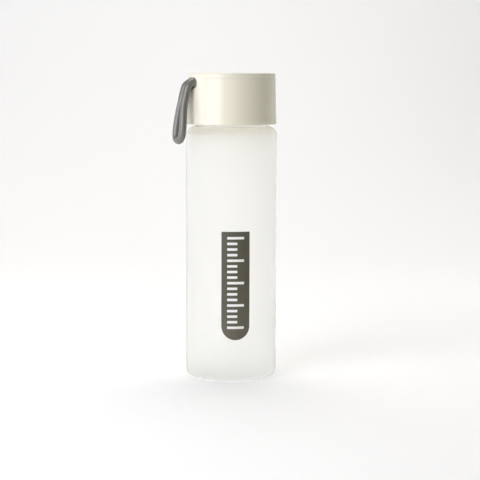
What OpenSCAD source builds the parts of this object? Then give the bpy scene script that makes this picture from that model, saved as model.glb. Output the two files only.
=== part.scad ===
// Glass water bottle with a screw cap and a moulded carry strap.
// Millimetres. Origin: centre of the base, on the plane the bottle stands on.
// +Z runs up the bottle's axis; the strap hangs on the -X side of the cap.

/* [Glass bottle] */
// Outside diameter of the straight glass wall
body_d = 66; // [60:0.5:76]
// Height of the shoulder's top above the standing plane
shoulder_z = 181.2; // [150:0.2:240]
// Radius of the rounded shoulder, seen in section
shoulder_round = 7.5; // [6:0.1:8]
// Radius of the outer base corner, seen in section
base_round = 3.5; // [2.5:0.1:6]
// Wall thickness of the glass
glass_t = 2.3; // [1.8:0.1:3]
// Thickness of the glass floor at the centre of the standing ring
floor_t = 6.5; // [4:0.1:9]
// Depth of the shallow hollow under the base
punt_h = 1.2; // [0.6:0.1:1.6]
// Radius of the hollow under the base
punt_r = 17; // [12:0.5:20]
// Wall thickness of the neck
neck_t = 3; // [2.4:0.1:3.4]
// Height of the neck above the shoulder's top
neck_h = 20; // [19.6:0.1:20.6]

/* [Screw thread] */
// Rise of the cap in one full turn
lead = 8; // [7:0.1:9]
// Radial depth of one thread ridge
ridge_h = 1.2; // [1:0.05:1.3]
// Radial clearance between the two threads
thread_gap = 0.5; // [0.4:0.05:0.6]
// Part of a turn that each bottle thread covers
neck_wrap = 0.95; // [0.7:0.05:1]
// Part of a turn that each cap thread covers
cap_wrap = 0.75; // [0.5:0.05:0.8]

/* [Cap] */
// Height of the cap's outer shell
cap_h = 36.6; // [36:0.2:44]
// How much less than the bottle the cap's lower edge measures, in radius
cap_inset = 0.5; // [0.3:0.1:1.5]
// Draft: how much narrower the cap's top is than its lower edge, in radius
cap_draft = 0.8; // [0.2:0.1:1]
// Gap between the cap's lower edge and the shoulder's top
cap_gap = 1.2; // [1:0.1:1.6]
// Wall thickness of the cap's outer shell
cap_wall = 2; // [1.6:0.1:2.2]
// Thickness of the cap's flat top
cap_top_t = 2.2; // [1.6:0.1:3]
// Rounding of the cap's upper edge
cap_edge = 1.5; // [0.8:0.1:1.6]
// Wall thickness of the threaded liner
liner_t = 1.8; // [1.4:0.1:1.8]
// Ribs that hold the liner inside the shell
rib_count = 12; // [8:1:16]

/* [Seal] */
// Thickness of the soft gasket on the rim
seal_t = 2.3; // [2:0.1:2.3]

/* [Carry strap] */
// Diameter of the moulded strap
strap_d = 5.4; // [4.6:0.1:5.4]
// Height of the strap's hole above the cap's lower edge
slot_up = 29.3; // [28.6:0.1:29.6]
// Height of the oblong hole in the cap's wall
slot_h = 7.4; // [6.6:0.1:7.6]
// Width of the oblong hole in the cap's wall
slot_w = 14.4; // [12:0.1:14.8]

/* [Printed badge] */
// Width of the badge, measured straight across
badge_w = 20; // [12:0.5:26]
// Height of the badge, with its round lower end
badge_h = 77.5; // [50:0.5:90]
// Height of the badge's lower tip above the standing plane
badge_z = 30.2; // [15:0.2:60]
// Direction that the badge faces, from +X towards +Y
badge_turn = 249.5; // [200:0.5:320]
// Thickness of the printed film
film_t = 0.1; // [0.06:0.01:0.12]
// Number of plain level bars printed on the badge
bar_count = 17; // [9:1:17]

/* [Hidden] */
$fn = 128;
body_r = body_d / 2;
straight_z = shoulder_z - shoulder_round;      // top of the straight wall
root_fillet = 0.8;                              // where the neck meets the shoulder
neck_r = body_r - shoulder_round - root_fillet; // outside of the neck
bore_r = neck_r - neck_t;                       // inside of the neck
rim_z = shoulder_z + neck_h;                    // sealing rim
inner_r = body_r - glass_t;
cap_r = body_r - cap_inset;                     // lower edge of the cap
cap_top_r = cap_r - cap_draft;
cap_in_r = cap_top_r - cap_wall;
cap_z = shoulder_z + cap_gap;                   // lower edge of the shell
cap_top_z = cap_z + cap_h;
ceiling_z = cap_top_z - cap_top_t;
pitch = lead / 2;                               // two threads share each turn
neck_thread_z = rim_z - 13;                     // where the bottle's threads begin
cap_thread_z = neck_thread_z - pitch / 2;       // the cap's threads lie midway between
liner_bore_r = neck_r + ridge_h + thread_gap;
liner_r = liner_bore_r + liner_t;
seal_gap = 0.05;
disc_z = rim_z + seal_t + 2 * seal_gap;         // underside of the liner's disc
disc_t = 2;
plug_r = bore_r - 3;                            // centres the gasket
slot_z = cap_z + slot_up;
strap_r = strap_d / 2;
knuckle_r = 3;
slot_r = cap_top_r + cap_draft * (cap_h - slot_up) / cap_h; // the cap's radius at the hole
knuckle_rho = slot_r + knuckle_r + 0.35;        // the strap's bending line, outside the wall
knuckle_z = slot_z - 2.3;
film_gap = 0.02;
// One side of the strap: distance from the axis, half the spacing of the two
// runs and height, from the knuckle down to the bottom of the loop. They are
// offsets from the knuckle, so that the loop follows the cap.
strap_side = [
    [0, 2.8, 0], [0.9, 2.8, -2], [2.1, 2.8, -6.2], [3.1, 2.9, -11.2],
    [4.1, 3.6, -16.6], [4.9, 4.6, -22.6], [5.5, 5.4, -28.1], [6, 5.4, -32.5],
    [6.4, 4.3, -36.1], [6.7, 2, -38]
];
function run(side) = [for (p = strap_side) [-knuckle_rho - p[0], side * p[1], knuckle_z + p[2]]];
function back(v) = [for (i = [len(v) - 1:-1:0]) v[i]];
strap_route = concat(run(1), back(run(-1)));
// A smooth curve through a row of points
function at(v, i) = v[min(max(i, 0), len(v) - 1)];
function smooth_pt(v, i, t) = let (a = at(v, i - 1), b = at(v, i), c = at(v, i + 1), d = at(v, i + 2))
    0.5 * (2 * b + (c - a) * t + (2 * a - 5 * b + 4 * c - d) * t * t + (3 * b - a - 3 * c + d) * t * t * t);
function smooth(v, n) = concat([for (i = [0:len(v) - 2], k = [0:n - 1]) smooth_pt(v, i, k / n)], [v[len(v) - 1]]);
function unit(a) = a / norm(a);
function along(v, i) = unit(at(v, i + 1) - at(v, i - 1));

// Round tube swept along a row of points that never runs parallel to X
module tube(path, r, sides) {
    n = len(path);
    rings = [for (i = [0:n - 1]) let (t = along(path, i), u = unit([1, 0, 0] - t[0] * t), w = cross(t, u))
        [for (k = [0:sides - 1]) path[i] + r * (cos(360 * k / sides) * u + sin(360 * k / sides) * w)]];
    polyhedron(
        points = [for (g = rings) each g],
        faces = concat(
            [[for (k = [0:sides - 1]) k]],
            [for (i = [0:n - 2], k = [0:sides - 1]) let (a = i * sides + k, b = i * sides + (k + 1) % sides)
                each [[a, a + sides, b], [b, a + sides, b + sides]]],
            [[for (k = [sides - 1:-1:0]) (n - 1) * sides + k]]),
        convexity = 8);
}

// One screw ridge. root is the radius inside the wall, face the wall's own
// radius and crest the ridge's tip, so the ridge fades into the wall at its ends.
module ridge(root, face, crest, z0, wrap, turn) {
    n = round(36 * wrap);
    inward = crest < root;
    rings = [for (i = [0:n]) let (
            f = min(1, i / 3, (n - i) / 3),
            a = turn + 10 * i,
            z = z0 + lead * i / 36,
            tip = (1 - f) * (face + (inward ? 0.1 : -0.1)) + f * crest)
        [for (p = [[root, -1.1], [tip, -0.5], [tip, 0.5], [root, 1.1]]) [p[0] * cos(a), p[0] * sin(a), z + p[1]]]];
    ends = concat([[0, 1, 2, 3]], [[4 * n + 3, 4 * n + 2, 4 * n + 1, 4 * n]]);
    sides = [for (i = [0:n - 1], k = [0:3]) let (a = 4 * i + k, b = 4 * i + (k + 1) % 4)
        each [[a, a + 4, b], [b, a + 4, b + 4]]];
    points = [for (g = rings) each g];
    polyhedron(points = points,
        faces = inward ? concat(ends, sides) : [for (q = concat(ends, sides)) back(q)], convexity = 6);
}

// The blown glass vessel in section, as a closed ring without its ridges
module glass_section() {
    difference() {
        union() {
            // body with its rounded base corner and shoulder
            translate([0, base_round]) square([body_r, straight_z - base_round]);
            square([body_r - base_round, base_round + 0.01]);
            translate([body_r - base_round, base_round]) circle(r = base_round);
            translate([0, straight_z - 0.01]) square([body_r - shoulder_round, shoulder_round + 0.01]);
            translate([body_r - shoulder_round, straight_z]) circle(r = shoulder_round);
            // neck, with a small fillet at its root and a rounded rim
            translate([0, shoulder_z - 1]) square([neck_r, neck_h + 1 - 0.8]);
            translate([0, rim_z - 0.81]) square([neck_r - 0.8, 0.81]);
            translate([neck_r - 0.8, rim_z - 0.8]) circle(r = 0.8);
            difference() {
                translate([neck_r - 0.1, shoulder_z - 0.5]) square([root_fillet + 0.1, root_fillet + 0.5]);
                translate([neck_r + root_fillet, shoulder_z + root_fillet]) circle(r = root_fillet);
                translate([neck_r + root_fillet, shoulder_z - 1]) square([2, 1]);
            }
        }
        // the hollow
        translate([-1, floor_t + 6]) square([inner_r + 1, straight_z - floor_t - 6]);
        translate([-1, floor_t]) square([inner_r - 6 + 1, 6.01]);
        translate([inner_r - 6, floor_t + 6]) circle(r = 6);
        translate([-1, straight_z - 0.01]) square([body_r - shoulder_round + 1, shoulder_round - glass_t + 0.01]);
        translate([body_r - shoulder_round, straight_z]) circle(r = shoulder_round - glass_t);
        // the neck's bore
        translate([-1, shoulder_z - glass_t - 0.5]) square([bore_r + 1, neck_h + glass_t + 2]);
        // shallow hollow under the base
        translate([-1, -1]) square([punt_r - 2 + 1, punt_h + 1]);
        polygon([[punt_r - 2.01, -0.01], [punt_r, -0.01], [punt_r - 2, punt_h], [punt_r - 2.01, punt_h]]);
        // nothing left of the axis
        translate([-20, -20]) square([20, rim_z + 60]);
    }
}

// Frosted glass vessel with two screw ridges on its neck
module glass_bottle() {
    color([0.93, 0.94, 0.93]) union() {
        rotate_extrude() glass_section();
        for (s = [0, 180])
            ridge(neck_r - 0.5, neck_r, neck_r + ridge_h, neck_thread_z, neck_wrap, s);
    }
}

// A thin printed film that follows the glass, cut to a flat outline
module film(r_in, r_out) {
    intersection() {
        difference() {
            cylinder(r = r_out, h = shoulder_z, $fn = 180);
            translate([0, 0, -1]) cylinder(r = r_in, h = shoulder_z + 2, $fn = 180);
        }
        rotate([0, 0, badge_turn]) rotate([90, 0, 90]) linear_extrude(height = body_r + 10) children();
    }
}

// Dark badge: square upper corners, half-round lower end
module badge_print() {
    color([0.37, 0.35, 0.31]) film(body_r + film_gap, body_r + film_gap + film_t) union() {
        translate([0, badge_z + badge_w / 2]) circle(d = badge_w);
        translate([-badge_w / 2, badge_z + badge_w / 2]) square([badge_w, badge_h - badge_w / 2]);
    }
}

// Plain level bars on the badge, every fourth one long
module badge_marks() {
    step = (badge_h - 13.5) / (bar_count - 1);
    color([0.96, 0.96, 0.94])
        film(body_r + 2 * film_gap + film_t, body_r + 2 * film_gap + 1.6 * film_t)
            for (i = [0:bar_count - 1]) let (w = (i % 4 == 0 ? 0.6 : 0.36) * badge_w)
                translate([-0.3 * badge_w, badge_z + 9 + i * step - 0.9]) square([w, 1.8]);
}

// Outer cap: a plain glossy cylinder with an oblong hole for the strap
module cap_shell() {
    color([0.93, 0.91, 0.86]) difference() {
        rotate_extrude() difference() {
            polygon(concat([[0, cap_z], [cap_r - 0.9, cap_z]],
                [for (a = [-75:15:0]) [cap_r - 0.6 + 0.6 * cos(a), cap_z + 0.6 + 0.6 * sin(a)]],
                [for (a = [0:7.5:82.5]) [cap_top_r - cap_edge + cap_edge * cos(a), cap_top_z - cap_edge + cap_edge * sin(a)]],
                [[cap_top_r - cap_edge, cap_top_z], [0, cap_top_z]]));
            translate([-1, cap_z - 1]) square([cap_in_r + 1, ceiling_z - cap_z + 1]);
            translate([-20, cap_z - 20]) square([20, cap_h + 40]);
        }
        translate([-cap_in_r / 2, 0, slot_z]) rotate([0, -90, 0]) slot_prism(cap_r);
    }
}

// Oblong prism with round ends, lying across the wall
module slot_prism(len) {
    for (s = [-1, 1]) translate([0, s * (slot_w - slot_h) / 2, 0]) cylinder(d = slot_h, h = len);
    translate([-slot_h / 2, -(slot_w - slot_h) / 2, 0]) cube([slot_h, slot_w - slot_h, len]);
}

// Threaded liner: skirt, disc with a centring plug, ribs to the shell and a
// boss that meets the shell's ceiling
module cap_liner() {
    color([0.95, 0.94, 0.9]) union() {
        rotate_extrude() difference() {
            translate([0, cap_z + 0.6]) square([liner_r, disc_z + disc_t - cap_z - 0.6]);
            translate([-1, cap_z]) square([liner_bore_r + 1, rim_z - 0.2 - cap_z]);
            translate([plug_r, rim_z - 0.3]) square([liner_bore_r - plug_r, disc_z - rim_z + 0.3]);
            translate([-1, rim_z + 1.4]) square([plug_r - 1.8 + 1, disc_z + disc_t - rim_z]);
            translate([-20, cap_z - 20]) square([20, cap_h + 40]);
        }
        rotate_extrude() translate([9, rim_z + 1]) square([1.6, ceiling_z - 0.05 - rim_z - 1]);
        for (i = [0:rib_count - 1]) rotate([0, 0, (i + 0.5) * 360 / rib_count])
            translate([liner_r - 0.4, -0.6, cap_z + 2]) cube([cap_in_r - 0.1 - liner_r + 0.4, 1.2, disc_z - cap_z - 2]);
        for (s = [0, 180])
            ridge(liner_bore_r + 0.5, liner_bore_r, neck_r + thread_gap, cap_thread_z, cap_wrap, s);
    }
}

// Soft gasket between the rim and the liner's disc
module seal_ring() {
    color([0.82, 0.83, 0.82]) translate([0, 0, rim_z + seal_gap]) difference() {
        cylinder(r = liner_bore_r - 0.6, h = seal_t);
        translate([0, 0, -1]) cylinder(r = plug_r + 0.4, h = seal_t + 2);
    }
}

// The strap's inner end: a wide head behind the wall and two stubs in the hole
module strap_anchor() {
    color([0.5, 0.5, 0.48]) union() {
        intersection() {
            difference() {
                cylinder(r = cap_in_r - 0.05, h = slot_z + 4);
                translate([0, 0, -1]) cylinder(r = cap_in_r - 2.5, h = slot_z + 8);
            }
            translate([-cap_r, -8.6, slot_z - 3.9]) cube([cap_r, 17.2, 7.8]);
        }
        for (s = [-1, 1]) translate([-slot_r + 0.1, s * (strap_r + 0.1), slot_z])
            rotate([0, 90, 0]) cylinder(r = strap_r, h = 3.2);
    }
}

// The moulded loop that hangs outside, with the knuckle that it bends at
module carry_strap() {
    color([0.5, 0.5, 0.48]) union() {
        translate([-knuckle_rho, -5.7, knuckle_z]) rotate([-90, 0, 0]) cylinder(r = knuckle_r, h = 11.4);
        tube(smooth(strap_route, 2), strap_r, 12);
    }
}

glass_bottle();
badge_print();
badge_marks();
cap_shell();
cap_liner();
seal_ring();
strap_anchor();
carry_strap();
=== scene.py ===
import math
import bmesh
import bpy
import numpy as np
from mathutils import Matrix, Vector


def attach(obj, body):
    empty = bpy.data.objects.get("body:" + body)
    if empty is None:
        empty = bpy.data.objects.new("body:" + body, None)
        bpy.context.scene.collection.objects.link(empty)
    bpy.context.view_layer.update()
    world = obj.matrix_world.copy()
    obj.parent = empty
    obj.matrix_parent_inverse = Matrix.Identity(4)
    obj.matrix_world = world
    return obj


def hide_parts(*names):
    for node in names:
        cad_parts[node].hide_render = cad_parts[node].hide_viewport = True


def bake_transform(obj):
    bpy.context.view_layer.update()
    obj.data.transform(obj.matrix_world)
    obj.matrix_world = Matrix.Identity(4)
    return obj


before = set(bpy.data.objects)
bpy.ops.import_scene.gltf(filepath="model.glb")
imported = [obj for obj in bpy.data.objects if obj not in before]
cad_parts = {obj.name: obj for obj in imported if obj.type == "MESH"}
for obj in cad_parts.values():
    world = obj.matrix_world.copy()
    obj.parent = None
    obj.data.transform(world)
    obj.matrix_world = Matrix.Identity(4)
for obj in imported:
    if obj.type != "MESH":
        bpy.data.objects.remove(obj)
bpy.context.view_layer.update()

scene = bpy.context.scene
scene.view_settings.view_transform = "Standard"
scene.view_settings.look = "None"
scene.cycles.max_bounces = 24             # light passes the frosted walls many times
scene.cycles.transmission_bounces = 24
scene.cycles.diffuse_bounces = 8
scene.cycles.glossy_bounces = 8
MM = 0.001

# ---------------------------------------------------------------- camera
AZ, DIST, HIGH = math.radians(-26.0), 1.014187, 0.218104
YAW, PITCH, ROLL = math.radians(0.3608), math.radians(6.7501), math.radians(0.1595)
z_up = Vector((0, 0, 1))
r0 = Vector((math.cos(AZ), math.sin(AZ), 0))
f0 = Vector((-math.sin(AZ), math.cos(AZ), 0))
f1 = math.cos(YAW) * f0 + math.sin(YAW) * r0
r1 = math.cos(YAW) * r0 - math.sin(YAW) * f0
f2 = math.cos(PITCH) * f1 - math.sin(PITCH) * z_up
u2 = math.cos(PITCH) * z_up + math.sin(PITCH) * f1
right = r1 * math.cos(ROLL) + u2 * math.sin(ROLL)
up = u2 * math.cos(ROLL) - r1 * math.sin(ROLL)
eye = Vector((math.sin(AZ) * DIST, -math.cos(AZ) * DIST, HIGH))
cam_data = bpy.data.cameras.new("camera")
cam_data.sensor_width = 36.0
cam_data.lens = 105.108
cam_data.clip_start, cam_data.clip_end = 0.05, 50.0
cam = bpy.data.objects.new("camera", cam_data)
m = Matrix((right, up, -f2)).transposed().to_4x4()
m.translation = eye
cam.matrix_world = m
scene.collection.objects.link(cam)
scene.camera = cam


# ---------------------------------------------------------------- mesh helpers
def new_object(name, verts, faces, smooth=True, sharp=None):
    """Mesh object from points in millimetres. sharp is the angle above which an edge is hard."""
    me = bpy.data.meshes.new(name)
    me.from_pydata([tuple(float(c) * MM for c in v) for v in verts], [], [tuple(f) for f in faces])
    bm = bmesh.new()
    bm.from_mesh(me)
    bmesh.ops.remove_doubles(bm, verts=bm.verts, dist=1e-7)
    bmesh.ops.recalc_face_normals(bm, faces=bm.faces)
    bm.to_mesh(me)
    bm.free()
    me.validate()
    for p in me.polygons:
        p.use_smooth = smooth
    if sharp is not None:
        me.set_sharp_from_angle(angle=math.radians(sharp))
    ob = bpy.data.objects.new(name, me)
    scene.collection.objects.link(ob)
    return ob


def arc(cx, cz, r, a0, a1, n):
    """Points on an arc in section, angles in degrees from +r towards +z, both ends included."""
    return [(cx + r * math.cos(math.radians(a0 + (a1 - a0) * i / n)),
             cz + r * math.sin(math.radians(a0 + (a1 - a0) * i / n))) for i in range(n + 1)]


def line(a, b, n):
    """n points after a, ending on b."""
    return [(a[0] + (b[0] - a[0]) * i / n, a[1] + (b[1] - a[1]) * i / n) for i in range(1, n + 1)]


def revolve(name, profile, segments, displace=None, closed=False, sharp=None):
    """Surface of revolution of a section (r, z). displace(angle, r, z, row) gives the radius to use."""
    verts, rows = [], []
    for i, (r, z) in enumerate(profile):
        if r < 1e-6:
            rows.append([len(verts)] * segments)
            verts.append((0, 0, z))
            continue
        row = []
        for k in range(segments):
            a = 2 * math.pi * k / segments
            rr = displace(math.degrees(a), r, z, i) if displace else r
            row.append(len(verts))
            verts.append((rr * math.cos(a), rr * math.sin(a), z))
        rows.append(row)
    faces = []
    pairs = list(zip(rows, rows[1:])) + ([(rows[-1], rows[0])] if closed else [])
    for lo, hi in pairs:
        for k in range(segments):
            j = (k + 1) % segments
            q = []
            for v in (lo[k], lo[j], hi[j], hi[k]):
                if v not in q:
                    q.append(v)
            if len(q) > 2:
                faces.append(q)
    return new_object(name, verts, faces, sharp=sharp)


def smoothstep(x):
    x = min(1.0, max(0.0, x))
    return x * x * (3 - 2 * x)


def ridge_height(angle, z, z0, wrap, lead=8.0, high=1.2):
    """Height of the two screw ridges over the wall at a place on it."""
    best = 0.0
    for s in (0.0, 180.0):
        t = (angle - s) % 360.0
        if t > 360 * wrap:
            continue
        f = smoothstep(t / 30.0) * smoothstep((360 * wrap - t) / 30.0)
        d = abs(z - (z0 + lead * t / 360.0))
        best = max(best, high * f * smoothstep((1.15 - d) / 0.75))
    return best


# ---------------------------------------------------------------- node helpers
def material(name, **values):
    mat = bpy.data.materials.new(name)
    mat.use_nodes = True
    nodes = mat.node_tree.nodes
    shader = nodes.get("Principled BSDF")
    for key, value in values.items():
        shader.inputs[key.replace("_", " ")].default_value = value
    return mat, mat.node_tree, shader


def coords(tree):
    return tree.nodes.new("ShaderNodeTexCoord").outputs["Object"]


def noise(tree, vector, scale, detail=3.0, rough=0.55, distort=0.0):
    n = tree.nodes.new("ShaderNodeTexNoise")
    n.inputs["Scale"].default_value = scale
    n.inputs["Detail"].default_value = detail
    n.inputs["Roughness"].default_value = rough
    n.inputs["Distortion"].default_value = distort
    tree.links.new(vector, n.inputs["Vector"])
    return n.outputs["Fac"]


def stretch(tree, vector, scale):
    n = tree.nodes.new("ShaderNodeMapping")
    n.inputs["Scale"].default_value = scale
    tree.links.new(vector, n.inputs["Vector"])
    return n.outputs["Vector"]


def ramp(tree, value, stops):
    n = tree.nodes.new("ShaderNodeValToRGB")
    el = n.color_ramp.elements
    while len(el) < len(stops):
        el.new(0.5)
    for e, (p, c) in zip(el, stops):
        e.position = p
        e.color = (*c, 1) if len(c) == 3 else c
    tree.links.new(value, n.inputs["Fac"])
    return n.outputs["Color"]


def span(tree, value, lo, hi, src=(0.0, 1.0)):
    n = tree.nodes.new("ShaderNodeMapRange")
    n.inputs["From Min"].default_value, n.inputs["From Max"].default_value = src
    n.inputs["To Min"].default_value, n.inputs["To Max"].default_value = lo, hi
    tree.links.new(value, n.inputs["Value"])
    return n.outputs["Result"]


def add(tree, a, b, op="ADD"):
    n = tree.nodes.new("ShaderNodeMath")
    n.operation = op
    for i, v in enumerate((a, b)):
        if isinstance(v, (int, float)):
            n.inputs[i].default_value = v
        else:
            tree.links.new(v, n.inputs[i])
    return n.outputs["Value"]


def parts(tree, vector):
    n = tree.nodes.new("ShaderNodeSeparateXYZ")
    tree.links.new(vector, n.inputs["Vector"])
    return n.outputs["X"], n.outputs["Y"], n.outputs["Z"]


def bump(tree, height, distance, strength=1.0, under=None):
    n = tree.nodes.new("ShaderNodeBump")
    n.inputs["Distance"].default_value = distance
    n.inputs["Strength"].default_value = strength
    tree.links.new(height, n.inputs["Height"])
    if under is not None:
        tree.links.new(under, n.inputs["Normal"])
    return n.outputs["Normal"]


# ---------------------------------------------------------------- materials
def frosted_glass():
    mat, t, s = material("frosted_glass", Metallic=0.0, IOR=1.5)
    s.inputs["Transmission Weight"].default_value = 1.0
    s.inputs["Subsurface Weight"].default_value = 0.0
    p = coords(t)
    cloud = noise(t, p, 28.0, 4.0, 0.6)
    grain = noise(t, p, 3200.0, 2.0, 0.6)
    etch = noise(t, p, 900.0, 3.0, 0.65)
    milk = ramp(t, add(t, add(t, cloud, 0.7, "MULTIPLY"), add(t, grain, 0.3, "MULTIPLY")),
                [(0.3, (0.985, 0.986, 0.974)), (0.7, (1.0, 1.0, 0.99))])
    x, y, z = parts(t, p)
    # painted reflection and shade of the cap: a faint ivory band darkens the shoulder just under the cap, standing in
    # for the cap's colour bouncing onto it
    painted_cap_reflection = ramp(t, span(t, z, 0.0, 1.0, (0.172, 0.184)),
                [(0.30, (1.0, 1.0, 1.0)), (0.52, (0.985, 0.97, 0.91)), (0.64, (0.985, 0.97, 0.91)), (0.74, (1.0, 1.0, 0.98))])
    # the painted cap reflection and shade is multiplied into the glass colour here
    both = t.nodes.new("ShaderNodeMix")
    both.data_type, both.blend_type = "RGBA", "MULTIPLY"
    both.inputs["Factor"].default_value = 1.0
    t.links.new(milk, both.inputs["A"])
    t.links.new(painted_cap_reflection, both.inputs["B"])
    t.links.new(both.outputs["Result"], s.inputs["Base Color"])
    matt = span(t, add(t, cloud, add(t, etch, 0.5, "MULTIPLY")), 0.68, 0.79, (0.4, 1.1))
    t.links.new(add(t, matt, span(t, z, 0.0, 0.18, (0.168, 0.179))), s.inputs["Roughness"])   # the neck is etched harder
    wave = bump(t, noise(t, stretch(t, p, (1, 1, 0.35)), 60.0, 2.0), 0.00012, 0.5)
    fine = bump(t, etch, 0.00003, 0.6, wave)
    t.links.new(bump(t, grain, 0.000012, 0.7, fine), s.inputs["Normal"])
    return mat


def gloss_plastic():
    mat, t, s = material("ivory_gloss", Metallic=0.0, IOR=1.5)
    s.inputs["Coat Weight"].default_value = 0.35
    s.inputs["Coat Roughness"].default_value = 0.06
    s.inputs["Subsurface Weight"].default_value = 0.0
    p = coords(t)
    flow = noise(t, stretch(t, p, (1, 1, 0.5)), 45.0, 4.0, 0.6, 0.4)
    speck = noise(t, p, 2600.0, 2.0, 0.5)
    t.links.new(ramp(t, add(t, add(t, flow, 0.75, "MULTIPLY"), add(t, speck, 0.25, "MULTIPLY")),
                     [(0.3, (0.785, 0.747, 0.605)), (0.7, (0.82, 0.785, 0.645))]), s.inputs["Base Color"])
    t.links.new(span(t, add(t, flow, add(t, speck, 0.4, "MULTIPLY")), 0.20, 0.30, (0.4, 1.0)), s.inputs["Roughness"])
    peel = bump(t, noise(t, p, 420.0, 2.0, 0.5), 0.000006, 0.3)
    t.links.new(bump(t, speck, 0.000002, 0.35, peel), s.inputs["Normal"])
    return mat


def satin_liner():
    mat, t, s = material("liner_plastic", Metallic=0.0, IOR=1.49)
    s.inputs["Subsurface Weight"].default_value = 0.0
    p = coords(t)
    flow = noise(t, p, 60.0, 4.0, 0.6, 0.3)
    grain = noise(t, p, 1500.0, 3.0, 0.6)
    t.links.new(ramp(t, add(t, add(t, flow, 0.7, "MULTIPLY"), add(t, grain, 0.3, "MULTIPLY")),
                     [(0.3, (0.82, 0.81, 0.77)), (0.7, (0.88, 0.87, 0.84))]), s.inputs["Base Color"])
    t.links.new(span(t, grain, 0.36, 0.50, (0.3, 0.7)), s.inputs["Roughness"])
    t.links.new(bump(t, grain, 0.00002, 0.5), s.inputs["Normal"])
    return mat


def seal_rubber():
    mat, t, s = material("seal_silicone", Metallic=0.0, IOR=1.43)
    s.inputs["Transmission Weight"].default_value = 0.15
    p = coords(t)
    haze = noise(t, p, 90.0, 3.0, 0.55)
    grain = noise(t, p, 1800.0, 2.0, 0.6)
    t.links.new(ramp(t, haze, [(0.3, (0.74, 0.75, 0.74)), (0.7, (0.82, 0.83, 0.82))]), s.inputs["Base Color"])
    t.links.new(span(t, grain, 0.38, 0.52, (0.3, 0.7)), s.inputs["Roughness"])
    t.links.new(bump(t, grain, 0.00002, 0.5), s.inputs["Normal"])
    return mat


def strap_rubber():
    mat, t, s = material("strap_silicone", Metallic=0.0, IOR=1.5)
    s.inputs["Specular IOR Level"].default_value = 1.0
    s.inputs["Coat Weight"].default_value = 0.25
    s.inputs["Coat Roughness"].default_value = 0.3
    s.inputs["Sheen Weight"].default_value = 0.06
    s.inputs["Sheen Roughness"].default_value = 0.4
    p = coords(t)
    haze = noise(t, p, 110.0, 4.0, 0.6, 0.3)
    grain = noise(t, p, 2200.0, 3.0, 0.65)
    dust = noise(t, p, 5200.0, 1.0, 0.4)
    base = add(t, add(t, haze, 0.55, "MULTIPLY"), add(t, grain, 0.45, "MULTIPLY"))
    t.links.new(ramp(t, base, [(0.3, (0.112, 0.110, 0.090)), (0.7, (0.142, 0.139, 0.118))]), s.inputs["Base Color"])
    t.links.new(span(t, add(t, haze, add(t, dust, 0.4, "MULTIPLY")), 0.27, 0.37, (0.4, 1.0)), s.inputs["Roughness"])
    soft = bump(t, haze, 0.00006, 0.4)
    t.links.new(bump(t, grain, 0.00002, 0.6, soft), s.inputs["Normal"])
    return mat


def ink(name, lo, hi, rough, lighter_low_end=False):
    mat, t, s = material(name, Metallic=0.0, IOR=1.48)
    p = coords(t)
    cloud = noise(t, p, 70.0, 4.0, 0.6)
    mesh_print = noise(t, p, 2400.0, 2.0, 0.6)
    ground = ramp(t, add(t, add(t, cloud, 0.6, "MULTIPLY"), add(t, mesh_print, 0.4, "MULTIPLY")), [(0.3, lo), (0.7, hi)])
    lower_lighter = span(t, parts(t, p)[2], 1.34, 1.0, (0.030, 0.060))     # the badge colour is lighter towards its lower end
    weight = t.nodes.new("ShaderNodeVectorMath")
    weight.operation = "SCALE"
    t.links.new(ground, weight.inputs[0])
    t.links.new(lower_lighter if lighter_low_end else add(t, 1.0, 0.0), weight.inputs["Scale"])
    t.links.new(weight.outputs["Vector"], s.inputs["Base Color"])
    t.links.new(span(t, mesh_print, rough - 0.06, rough + 0.08, (0.3, 0.7)), s.inputs["Roughness"])
    t.links.new(bump(t, mesh_print, 0.00001, 0.6), s.inputs["Normal"])
    return mat


GLASS = frosted_glass()
IVORY = gloss_plastic()
LINER = satin_liner()
SEAL = seal_rubber()
STRAP = strap_rubber()
# this badge's colour is brightened towards its lower end
BADGE = ink("badge_ink", (0.082, 0.074, 0.050), (0.106, 0.096, 0.068), 0.46, lighter_low_end=True)
MARK = ink("mark_ink", (0.84, 0.84, 0.82), (0.90, 0.90, 0.88), 0.5)


def dress(ob, mat):
    ob.data.materials.clear()
    ob.data.materials.append(mat)
    return ob


# ---------------------------------------------------------------- frosted glass vessel
profile = [(0, 1.25)]
profile += line((0, 1.25), (13.8, 1.2), 4)
profile += [(14.6, 1.12), (15.4, 0.8), (16.3, 0.3), (16.9, 0.08), (17.6, 0.0)]
profile += line((17.6, 0), (29.5, 0), 4)
profile += arc(29.5, 3.5, 3.5, -90, 0, 10)[1:]
profile += line((33, 3.5), (33, 173.7), 26)
profile += arc(25.5, 173.7, 7.5, 0, 90, 14)[1:]
profile += arc(25.5, 182.0, 0.8, 270, 180, 4)[1:]
profile += line((24.7, 182.0), (24.7, 186.8), 5)
profile += line((24.7, 186.8), (24.7, 197.4), 60)
profile += line((24.7, 197.4), (24.7, 200.4), 3)
profile += arc(23.9, 200.4, 0.8, 0, 90, 5)[1:]
profile += arc(22.5, 200.4, 0.8, 90, 180, 5)
profile += line((21.7, 200.4), (21.7, 180.1), 8)
profile += arc(22.9, 180.1, 1.2, 180, 270, 5)[1:]
profile += line((22.9, 178.9), (25.5, 178.9), 1)
profile += arc(25.5, 173.7, 5.2, 90, 0, 10)[1:]
profile += line((30.7, 173.7), (30.7, 12.5), 22)
profile += arc(24.7, 12.5, 6.0, 0, -90, 10)[1:]
profile += line((24.7, 6.5), (10.0, 6.9), 3)
profile += line((10.0, 6.9), (0, 7.0), 2)
outer_rows = [i for i, (r, z) in enumerate(profile) if abs(r - 24.7) < 1e-6 and z > 186 and z < 199]
first, last = min(outer_rows), max(outer_rows)


def neck_ridges(angle, r, z, row):
    return r + (ridge_height(angle, z, 188.2, 0.95) if first <= row <= last else 0.0)


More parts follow.
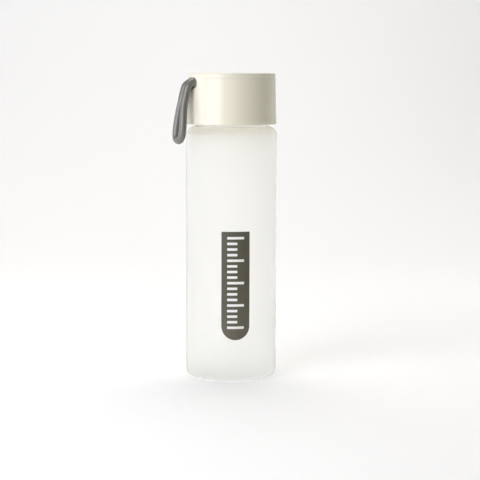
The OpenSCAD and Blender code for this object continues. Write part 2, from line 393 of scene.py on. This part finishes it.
vessel = revolve("glass_vessel", profile, 192, neck_ridges)
dress(vessel, GLASS)
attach(vessel, "bottle")
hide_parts("glass_bottle")


# ---------------------------------------------------------------- printed films
FACING = math.radians(249.5)


def film(name, shapes, r_in, r_out, cols):
    """Thin films on the glass. Each shape is (u0, u1, v0, v1, lower corner radius, upper corner radius)."""
    verts, faces = [], []

    def place(u, v, r):
        a = FACING + math.asin(u / r)
        return (r * math.cos(a), r * math.sin(a), v)

    for u0, u1, v0, v1, rb, rt in shapes:
        vs = []
        n = 14 if rb > 3 else 4
        for i in range(n + 1):
            a = math.pi / 2 * i / n
            vs.append((v0 + rb * (1 - math.cos(a)), rb * (1 - math.sin(a))))
        body = v1 - rt - (v0 + rb)
        k = max(1, int(round(body / 4.0)))
        for i in range(1, k):
            vs.append((v0 + rb + body * i / k, 0.0))
        n = 4
        for i in range(n + 1):
            a = math.pi / 2 * i / n
            vs.append((v1 - rt * (1 - math.sin(a)), rt * (1 - math.cos(a))))
        base = len(verts)
        w = cols + 1
        for r in (r_out, r_in):
            for v, cut in vs:
                for c in range(w):
                    s = c / cols
                    a, b = u0 + cut, u1 - cut
                    verts.append(place(a + (b - a) * s, v, r))
        rows = len(vs)
        back = base + rows * w
        for i in range(rows - 1):
            for c in range(cols):
                a = base + i * w + c
                faces.append((a, a + 1, a + w + 1, a + w))
                b = back + i * w + c
                faces.append((b, b + w, b + w + 1, b + 1))
        edge = [(0, c) for c in range(cols)] + [(i, cols) for i in range(rows - 1)]
        edge += [(rows - 1, c) for c in range(cols, 0, -1)] + [(i, 0) for i in range(rows - 1, 0, -1)]
        for (i, c), (i2, c2) in zip(edge, edge[1:] + edge[:1]):
            a, b = base + i * w + c, base + i2 * w + c2
            faces.append((a, back + i * w + c, back + i2 * w + c2, b))
    return new_object(name, verts, faces, sharp=35)


badge = film("badge_film", [(-10, 10, 30.2, 107.7, 10, 0.5)], 33.02, 33.12, 28)
dress(badge, BADGE)
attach(badge, "bottle")
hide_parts("badge_print")
bars = []
for i in range(17):
    w = 12.0 if i % 4 == 0 else 7.2
    v = 30.2 + 9 + i * 4.0 - 0.9
    bars.append((-6.0, -6.0 + w, v, v + 1.8, 0.3, 0.3))
marks = film("level_marks", bars, 33.14, 33.20, 10)
dress(marks, MARK)
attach(marks, "bottle")
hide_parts("badge_marks")


# ---------------------------------------------------------------- cap shell with its oblong hole
SEG = 192
PATCH_Z = [216.6, 215.9, 215.5, 215.36, 215.24, 215.1, 214.6, 213.6, 212.6, 211.6, 210.5, 209.4, 208.2, 207.0, 205.9]
P_COLS, P_ROWS = 10, len(PATCH_Z) - 1        # half columns and rows of the patch round the hole
Z_LO, Z_HI = 205.9, 216.6                   # the patch's lower and upper edge
SLOT_Z, SLOT_R, SLOT_C = 211.7, 3.7, 3.5    # hole: height, end radius, half distance of its end centres
IN_R = 29.7


def wall_r(z):
    return 31.7 + 0.8 * (217.5 - z) / 34.5


def lid_line(angle, r, z):
    """How far the shell is set in at the moulded line under its top edge; it runs out beside the hole."""
    away_from_hole = smoothstep((abs(angle - 180.0) - 20.0) / 8.0)
    groove = 0.2 if abs(z - 215.3) < 0.1 else 0.0
    band = 0.02 * (min(z, 217.5) - 215.4) if z > 215.4 else 0.0
    return away_from_hole * (groove + band * min(1.0, max(0.0, (r - 30.2) / 1.48)))


def on_oblong(dy, dz, r):
    """Where the ray from the hole's centre meets an oblong with end radius r."""
    n = math.hypot(dy, dz)
    dy, dz = dy / n, dz / n
    if abs(dz) > 1e-9:
        t = r / abs(dz)
        if abs(t * dy) <= SLOT_C:
            return t * dy, t * dz
    c = math.copysign(SLOT_C, dy)
    b = dy * c
    t = b + math.sqrt(max(0.0, b * b - c * c + r * r))
    return t * dy, t * dz


def shell():
    prof, tags = [], []

    def put(points, tag=""):
        for q in points:
            prof.append(q)
            tags.append(tag)

    put([(0, 219.04)])
    put(line((0, 219.04), (24, 219.03), 3) + line((24, 219.03), (30.2, 218.98), 2))
    put(arc(30.2, 217.5, 1.48, 90, 0, 8)[1:])
    put([(wall_r(z), z) for z in PATCH_Z], "out")
    put([(wall_r(z), z) for z in np.linspace(Z_LO, 183.0, 13)[1:]])
    put(arc(31.9, 183.0, 0.6, 0, -90, 5)[1:])
    put(line((31.9, 182.4), (30.1, 182.4), 2))
    put(arc(30.1, 182.8, 0.4, 270, 180, 3)[1:])
    put([(IN_R, z) for z in np.linspace(182.8, Z_LO, 12)[1:-1]])
    put([(IN_R, z) for z in PATCH_Z[::-1]], "in")
    put([(IN_R - 0.2, 216.8)])
    put(line((IN_R - 0.2, 216.8), (0, 216.8), 3))
    verts, rows = [], []
    for r, z in prof:
        if r < 1e-6:
            rows.append([len(verts)] * SEG)
            verts.append((0, 0, z))
            continue
        rows.append(list(range(len(verts), len(verts) + SEG)))
        for k in range(SEG):
            a = 2 * math.pi * k / SEG
            rr = r - (lid_line(math.degrees(a), r, z) if r > 30.2 and z > 215.0 else 0.0)
            verts.append((rr * math.cos(a), rr * math.sin(a), z))
    half = SEG // 2
    faces = []
    for i in range(len(rows) - 1):
        inside = tags[i] and tags[i] == tags[i + 1]
        for k in range(SEG):
            if inside and half - P_COLS <= k < half + P_COLS:
                continue
            j = (k + 1) % SEG
            q = []
            for v in (rows[i][k], rows[i][j], rows[i + 1][j], rows[i + 1][k]):
                if v not in q:
                    q.append(v)
            faces.append(q)
    out_rows = [rows[i] for i, t in enumerate(tags) if t == "out"]
    in_rows = [rows[i] for i, t in enumerate(tags) if t == "in"][::-1]

    def frame_loop(rws):
        loop = [rws[0][k] for k in range(half - P_COLS, half + P_COLS)]
        loop += [rws[i][half + P_COLS] for i in range(P_ROWS)]
        loop += [rws[P_ROWS][k] for k in range(half + P_COLS, half - P_COLS, -1)]
        loop += [rws[i][half - P_COLS] for i in range(P_ROWS, 0, -1)]
        return loop

    outer, inner = frame_loop(out_rows), frame_loop(in_rows)

    def ring_at(off, depth=None, inner_side=False, mix=0.0):
        ring = []
        for k in range(len(outer)):
            bx, by, bz = verts[(inner if inner_side else outer)[k]]
            ox, oy, oz = verts[outer[k]]
            dy, dz = on_oblong(oy * 0.78, (oz - SLOT_Z), SLOT_R + off)
            y, z = dy, SLOT_Z + dz
            y, z = y + (by - y) * mix, z + (bz - z) * mix
            if inner_side:
                x = -math.sqrt(IN_R ** 2 - y * y) - (depth or 0.0)
            else:
                x = -math.sqrt(wall_r(z) ** 2 - y * y) + (depth or 0.0)
            ring.append(len(verts))
            verts.append((x, y, z))
        return ring

    rings = [outer]
    for mix in (0.72, 0.46, 0.24, 0.09):
        rings.append(ring_at(0.5, 0.0, False, mix))
    lip = 0.5
    for i in range(6):
        a = math.pi / 2 * i / 5
        rings.append(ring_at(lip * (1 - math.sin(a)), lip * (1 - math.cos(a))))
    for i in range(5):
        a = math.pi / 2 * (1 - i / 4)
        rings.append(ring_at(0.3 * (1 - math.sin(a)), 0.3 * (1 - math.cos(a)), True))
    for mix in (0.2, 0.5):
        rings.append(ring_at(0.3, 0.0, True, mix))
    rings.append(inner)
    n = len(outer)
    for a, b in zip(rings, rings[1:]):
        for k in range(n):
            j = (k + 1) % n
            faces.append((a[k], a[j], b[j], b[k]))
    return new_object("cap_outer", verts, faces)


cap = dress(shell(), IVORY)
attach(cap, "cap")
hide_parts("cap_shell")


# ---------------------------------------------------------------- threaded liner and gasket
prof = [(0, 201.0)] + line((0, 201.0), (18.1, 201.0), 3) + arc(18.1, 201.6, 0.6, -90, 0, 4)[1:]
prof += line((18.7, 201.6), (18.7, 203.4), 2) + arc(18.9, 203.4, 0.2, 180, 90, 2)[1:]
prof += line((18.9, 203.6), (26.1, 203.6), 3) + arc(26.1, 203.3, 0.3, 90, 0, 3)[1:]
prof += line((26.4, 203.3), (26.4, 195.0), 6)
prof += line((26.4, 195.0), (26.4, 184.6), 58)
prof += line((26.4, 184.6), (26.4, 183.9), 1) + line((26.4, 183.9), (27.0, 183.1), 2)
prof += arc(27.9, 183.3, 0.3, 270, 360, 3)
prof += line((28.2, 183.3), (28.2, 205.2), 8) + arc(27.8, 205.2, 0.4, 0, 90, 3)[1:]
prof += line((27.8, 205.6), (17.2, 205.6), 3) + arc(17.2, 205.3, 0.3, 90, 180, 3)[1:]
prof += line((16.9, 205.3), (16.9, 203.0), 2) + arc(16.5, 203.0, 0.4, 0, -90, 3)[1:]
prof += line((16.5, 202.6), (10.6, 202.6), 2) + line((10.6, 202.6), (10.6, 216.6), 4)
prof += line((10.6, 216.6), (10.45, 216.75), 1) + line((10.45, 216.75), (9.15, 216.75), 1)
prof += line((9.15, 216.75), (9.0, 216.6), 1) + line((9.0, 216.6), (9.0, 202.6), 4) + line((9.0, 202.6), (0, 202.6), 2)
lin_rows = [i for i, (r, z) in enumerate(prof) if abs(r - 26.4) < 1e-6 and 184.5 < z < 195.1]
l_first, l_last = min(lin_rows), max(lin_rows)


def liner_ridges(angle, r, z, row):
    return r - (ridge_height(angle, z, 186.2, 0.75) if l_first <= row <= l_last else 0.0)


liner = revolve("cap_inner", prof, 160, liner_ridges, sharp=50)


def rib_mesh(bm, angle):
    """One stiffening rib between the liner and the shell, with softened edges."""
    made = bmesh.ops.create_cube(bm, size=1.0)["verts"]
    for v in made:
        v.co.x = (28.6 + v.co.x * 2.0) * MM
        v.co.y = v.co.y * 1.2 * MM
        v.co.z = (194.0 + v.co.z * 19.2) * MM
    edges = [e for e in bm.edges if all(v in made for v in e.verts) and all(v.co.x > 29 * MM for v in e.verts)]
    out = bmesh.ops.bevel(bm, geom=edges, offset=0.2 * MM, segments=2, affect="EDGES")
    island = set(made) | set(out["verts"])
    island = [v for v in island if v.is_valid]
    bmesh.ops.rotate(bm, verts=island, cent=(0, 0, 0), matrix=Matrix.Rotation(angle, 3, "Z"))


bm = bmesh.new()
bm.from_mesh(liner.data)
for i in range(12):
    rb = bmesh.new()
    rib_mesh(rb, 2 * math.pi * (i + 0.5) / 12)
    tmp = bpy.data.meshes.new("tmp")
    rb.to_mesh(tmp)
    rb.free()
    bm.from_mesh(tmp)
    bpy.data.meshes.remove(tmp)
bm.to_mesh(liner.data)
bm.free()
for q in liner.data.polygons:
    q.use_smooth = True
liner.data.set_sharp_from_angle(angle=math.radians(50))
dress(liner, LINER)
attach(liner, "cap")
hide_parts("cap_liner")

prof = arc(19.5, 203.15, 0.4, 90, 180, 4) + arc(19.5, 201.65, 0.4, 180, 270, 4)
for c in (21.0, 22.6, 24.2):                     # three shallow sealing grooves under the gasket
    prof += [(c - 0.35, 201.25), (c - 0.18, 201.36), (c, 201.42), (c + 0.18, 201.36), (c + 0.35, 201.25)]
prof += arc(25.4, 201.65, 0.4, 270, 360, 4) + arc(25.4, 203.15, 0.4, 0, 90, 4)
gasket = revolve("gasket", prof, 128, closed=True)
dress(gasket, SEAL)
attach(gasket, "seal")
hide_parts("seal_ring")


# ---------------------------------------------------------------- moulded carry strap
# One side of the strap: distance from the bottle's axis, half the spacing of the runs, height
side = [(28.4, 2.8, 211.9), (30.2, 2.8, 211.9), (31.8, 2.8, 211.85), (33.4, 2.8, 211.3), (34.7, 2.8, 210.2),
        (35.6, 2.8, 208.6), (36.2, 2.8, 206.7), (37.2, 2.8, 203.0), (38.3, 2.9, 198.2), (39.3, 3.6, 192.8),
        (40.1, 4.6, 186.8), (40.7, 5.35, 181.3), (41.2, 5.35, 176.9), (41.6, 4.3, 173.3), (41.9, 2.0, 171.4)]
route = [Vector((-a, b, c)) for a, b, c in side] + [Vector((-a, -b, c)) for a, b, c in reversed(side)]


def catmull(points, per):
    out = []
    n = len(points)
    for i in range(n - 1):
        a, b, c, d = points[max(0, i - 1)], points[i], points[i + 1], points[min(n - 1, i + 2)]
        for k in range(per):
            t = k / per
            out.append(0.5 * (2 * b + (c - a) * t + (2 * a - 5 * b + 4 * c - d) * t * t + (3 * b - a - 3 * c + d) * t ** 3))
    out.append(points[-1])
    return out


def even(points, step):
    """The same curve with points at an even spacing."""
    pts = np.array(points)
    d = np.r_[0, np.cumsum(np.linalg.norm(np.diff(pts, axis=0), axis=1))]
    n = int(round(d[-1] / step))
    at = np.linspace(0, d[-1], n + 1)
    return [Vector([float(np.interp(q, d, pts[:, c])) for c in range(3)]) for q in at]


def relax(points, rounds):
    """Evens out the bends without moving the ends."""
    for _ in range(rounds):
        points = [points[0]] + [(a + 2 * b + c) / 4 for a, b, c in zip(points, points[1:], points[2:])] + [points[-1]]
    return points


path = relax(even(catmull(route, 8), 0.55), 6)
SIDES, TUBE = 36, 2.7
verts, faces = [], []
tangent = [(path[min(i + 1, len(path) - 1)] - path[max(i - 1, 0)]).normalized() for i in range(len(path))]
normal = Vector((0, 1, 0))
for i, p in enumerate(path):
    normal = (normal - tangent[i] * normal.dot(tangent[i])).normalized()
    side_dir = tangent[i].cross(normal)
    for k in range(SIDES):
        a = 2 * math.pi * k / SIDES
        d = min(abs(math.sin(a)), 1.0)
        flash = 0.07 * math.exp(-(d / 0.10) ** 2)   # the mould's parting line, along the loop's own plane
        end = min(i, len(path) - 1 - i) * 0.55      # distance along the strap from its nearer root
        r = TUBE + flash + 0.65 * (1 - smoothstep((end - 3.1) / 2.6))
        verts.append(p + r * (math.cos(a) * normal + math.sin(a) * side_dir))
n = len(path)
for i in range(n - 1):
    for k in range(SIDES):
        j = (k + 1) % SIDES
        faces.append((i * SIDES + k, i * SIDES + j, (i + 1) * SIDES + j, (i + 1) * SIDES + k))
for base in (0, (n - 1) * SIDES):
    verts.append(path[0] if base == 0 else path[-1])
    c = len(verts) - 1
    for k in range(SIDES):
        faces.append((base + k, base + (k + 1) % SIDES, c))
loop = new_object("strap_loop", verts, faces, sharp=60)
dress(loop, STRAP)
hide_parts("carry_strap")
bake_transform(loop)

# the strap's wide head, behind the cap's wall, with the oblong plug that fills the hole
bm = bmesh.new()
bmesh.ops.create_cube(bm, size=1.0)
bmesh.ops.bevel(bm, geom=bm.edges[:], offset=0.16, segments=3, affect="EDGES")
bmesh.ops.subdivide_edges(bm, edges=[e for e in bm.edges if abs(e.verts[0].co.y - e.verts[1].co.y) > 0.3], cuts=12)
for v in bm.verts:
    u, w = v.co.y * 17.2, v.co.z
    r = 28.42 + v.co.x * 2.4
    a = u / 28.4
    v.co = (-r * math.cos(a) * MM, r * math.sin(a) * MM, (211.7 + w * 7.8) * MM)
PLUG_R, PROUD, LIP = SLOT_R - 0.15, 0.3, 0.45
outline = [(SLOT_C, a) for a in range(-90, 90, 10)]
outline += [(SLOT_C - 2 * SLOT_C * i / 8, 90) for i in range(8)]
outline += [(-SLOT_C, a) for a in range(90, 270, 10)]
outline += [(-SLOT_C + 2 * SLOT_C * i / 8, 270) for i in range(8)]
rings = [(PLUG_R, -2.4), (PLUG_R, PROUD - LIP)]
rings += [(PLUG_R - LIP * (1 - math.cos(math.radians(a))), PROUD - LIP * (1 - math.sin(math.radians(a)))) for a in (18, 36, 54, 72, 90)]
rings += [(PLUG_R * f, PROUD) for f in (0.68, 0.46, 0.24)]
loops = []
for r, out in rings:
    loop_verts = []
    for c, a in outline:
        y, z = c + r * math.cos(math.radians(a)), SLOT_Z + r * math.sin(math.radians(a))
        x = -math.sqrt((wall_r(z) + out) ** 2 - y * y)
        loop_verts.append(bm.verts.new((x * MM, y * MM, z * MM)))
    loops.append(loop_verts)
for lo, hi in zip(loops, loops[1:]):
    for i in range(len(outline)):
        j = (i + 1) % len(outline)
        bm.faces.new((lo[i], lo[j], hi[j], hi[i]))
bm.faces.new(loops[0])
bm.faces.new(loops[-1])
me = bpy.data.meshes.new("strap_head")
bmesh.ops.recalc_face_normals(bm, faces=bm.faces)
bm.to_mesh(me)
bm.free()
for q in me.polygons:
    q.use_smooth = True
head = bpy.data.objects.new("strap_head", me)
scene.collection.objects.link(head)
dress(head, STRAP)
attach(head, "cap")
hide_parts("strap_anchor")


# ---------------------------------------------------------------- floor, backdrop, light
def stage_material():
    """Plain pale sweep, softly lit from inside near the bottle like a light table."""
    mat, t, s = material("stage", Metallic=0.0)
    p = coords(t)
    t.links.new(ramp(t, noise(t, p, 3.0, 3.0, 0.5), [(0.3, (0.925, 0.925, 0.92)), (0.7, (0.94, 0.94, 0.935))]), s.inputs["Base Color"])
    s.inputs["Roughness"].default_value = 0.6
    s.inputs["Specular IOR Level"].default_value = 0.2
    s.inputs["Emission Color"].default_value = (1, 1, 1, 1)
    far = t.nodes.new("ShaderNodeVectorMath")
    far.operation = "LENGTH"
    t.links.new(p, far.inputs[0])
    t.links.new(span(t, far.outputs["Value"], 0.110, 0.045, (0.30, 1.35)), s.inputs["Emission Strength"])
    return mat


verts, faces = [], []
sweep = [(-3.0, 0.0), (-1.5, 0.0), (0.0, 0.0), (0.55, 0.0)]
sweep += [(0.55 + 0.5 * math.sin(math.radians(a)), 0.5 - 0.5 * math.cos(math.radians(a))) for a in range(5, 91, 5)]
sweep += [(1.05, 1.0), (1.05, 2.4)]
for y, z in sweep:
    for x in (-3.0, -1.0, 0.0, 1.0, 3.0):
        v = r0 * x + f0 * y
        verts.append((v.x * 1000, v.y * 1000, z * 1000))
for i in range(len(sweep) - 1):
    for k in range(4):
        a = i * 5 + k
        faces.append((a, a + 1, a + 6, a + 5))
floor = new_object("floor", verts, faces)
floor.data.materials.append(stage_material())

world = bpy.data.worlds.new("world")
world.use_nodes = True
bg = world.node_tree.nodes["Background"]
bg.inputs["Color"].default_value = (1.0, 0.975, 0.88, 1.0)
bg.inputs["Strength"].default_value = 0.135
scene.world = world


def softbox(name, away, size, size_y, power, look_at=(0, 0, 0.12), colour=(1, 1, 1)):
    """A soft box at a place given in the camera's own floor axes: right, towards the camera, up."""
    x, y, z = away
    spot = r0 * x - f0 * y + Vector((0, 0, z))
    data = bpy.data.lights.new(name, "AREA")
    data.shape = "RECTANGLE"
    data.size, data.size_y = size, size_y
    data.energy = power
    data.color = colour
    ob = bpy.data.objects.new(name, data)
    ob.location = spot
    ob.rotation_euler = (Vector(look_at) - spot).to_track_quat("-Z", "Y").to_euler()
    ob.visible_camera = False
    scene.collection.objects.link(ob)
    return ob


softbox("key", (-0.70, 0.72, 0.35), 0.75, 1.3, 11.1, colour=(0.91, 0.92, 1.0))
softbox("key_side", (-0.996, 0.0, 0.30), 0.75, 0.35, 1.5, look_at=(0, 0, 0.2), colour=(0.90, 0.915, 1.0))
softbox("front", (-0.10, 1.30, 0.55), 0.8, 0.8, 1.57, colour=(1.0, 0.985, 0.92))
softbox("rim_left", (-0.66, -0.30, 0.19), 0.45, 0.22, 0.15, look_at=(0, 0, 0.20))
softbox("rim_right", (0.66, -0.38, 0.30), 0.5, 0.8, 0.6, colour=(1.0, 0.995, 0.96))
softbox("top", (0.0, -0.45, 1.2), 1.2, 0.9, 9.0, colour=(1.0, 0.975, 0.95))
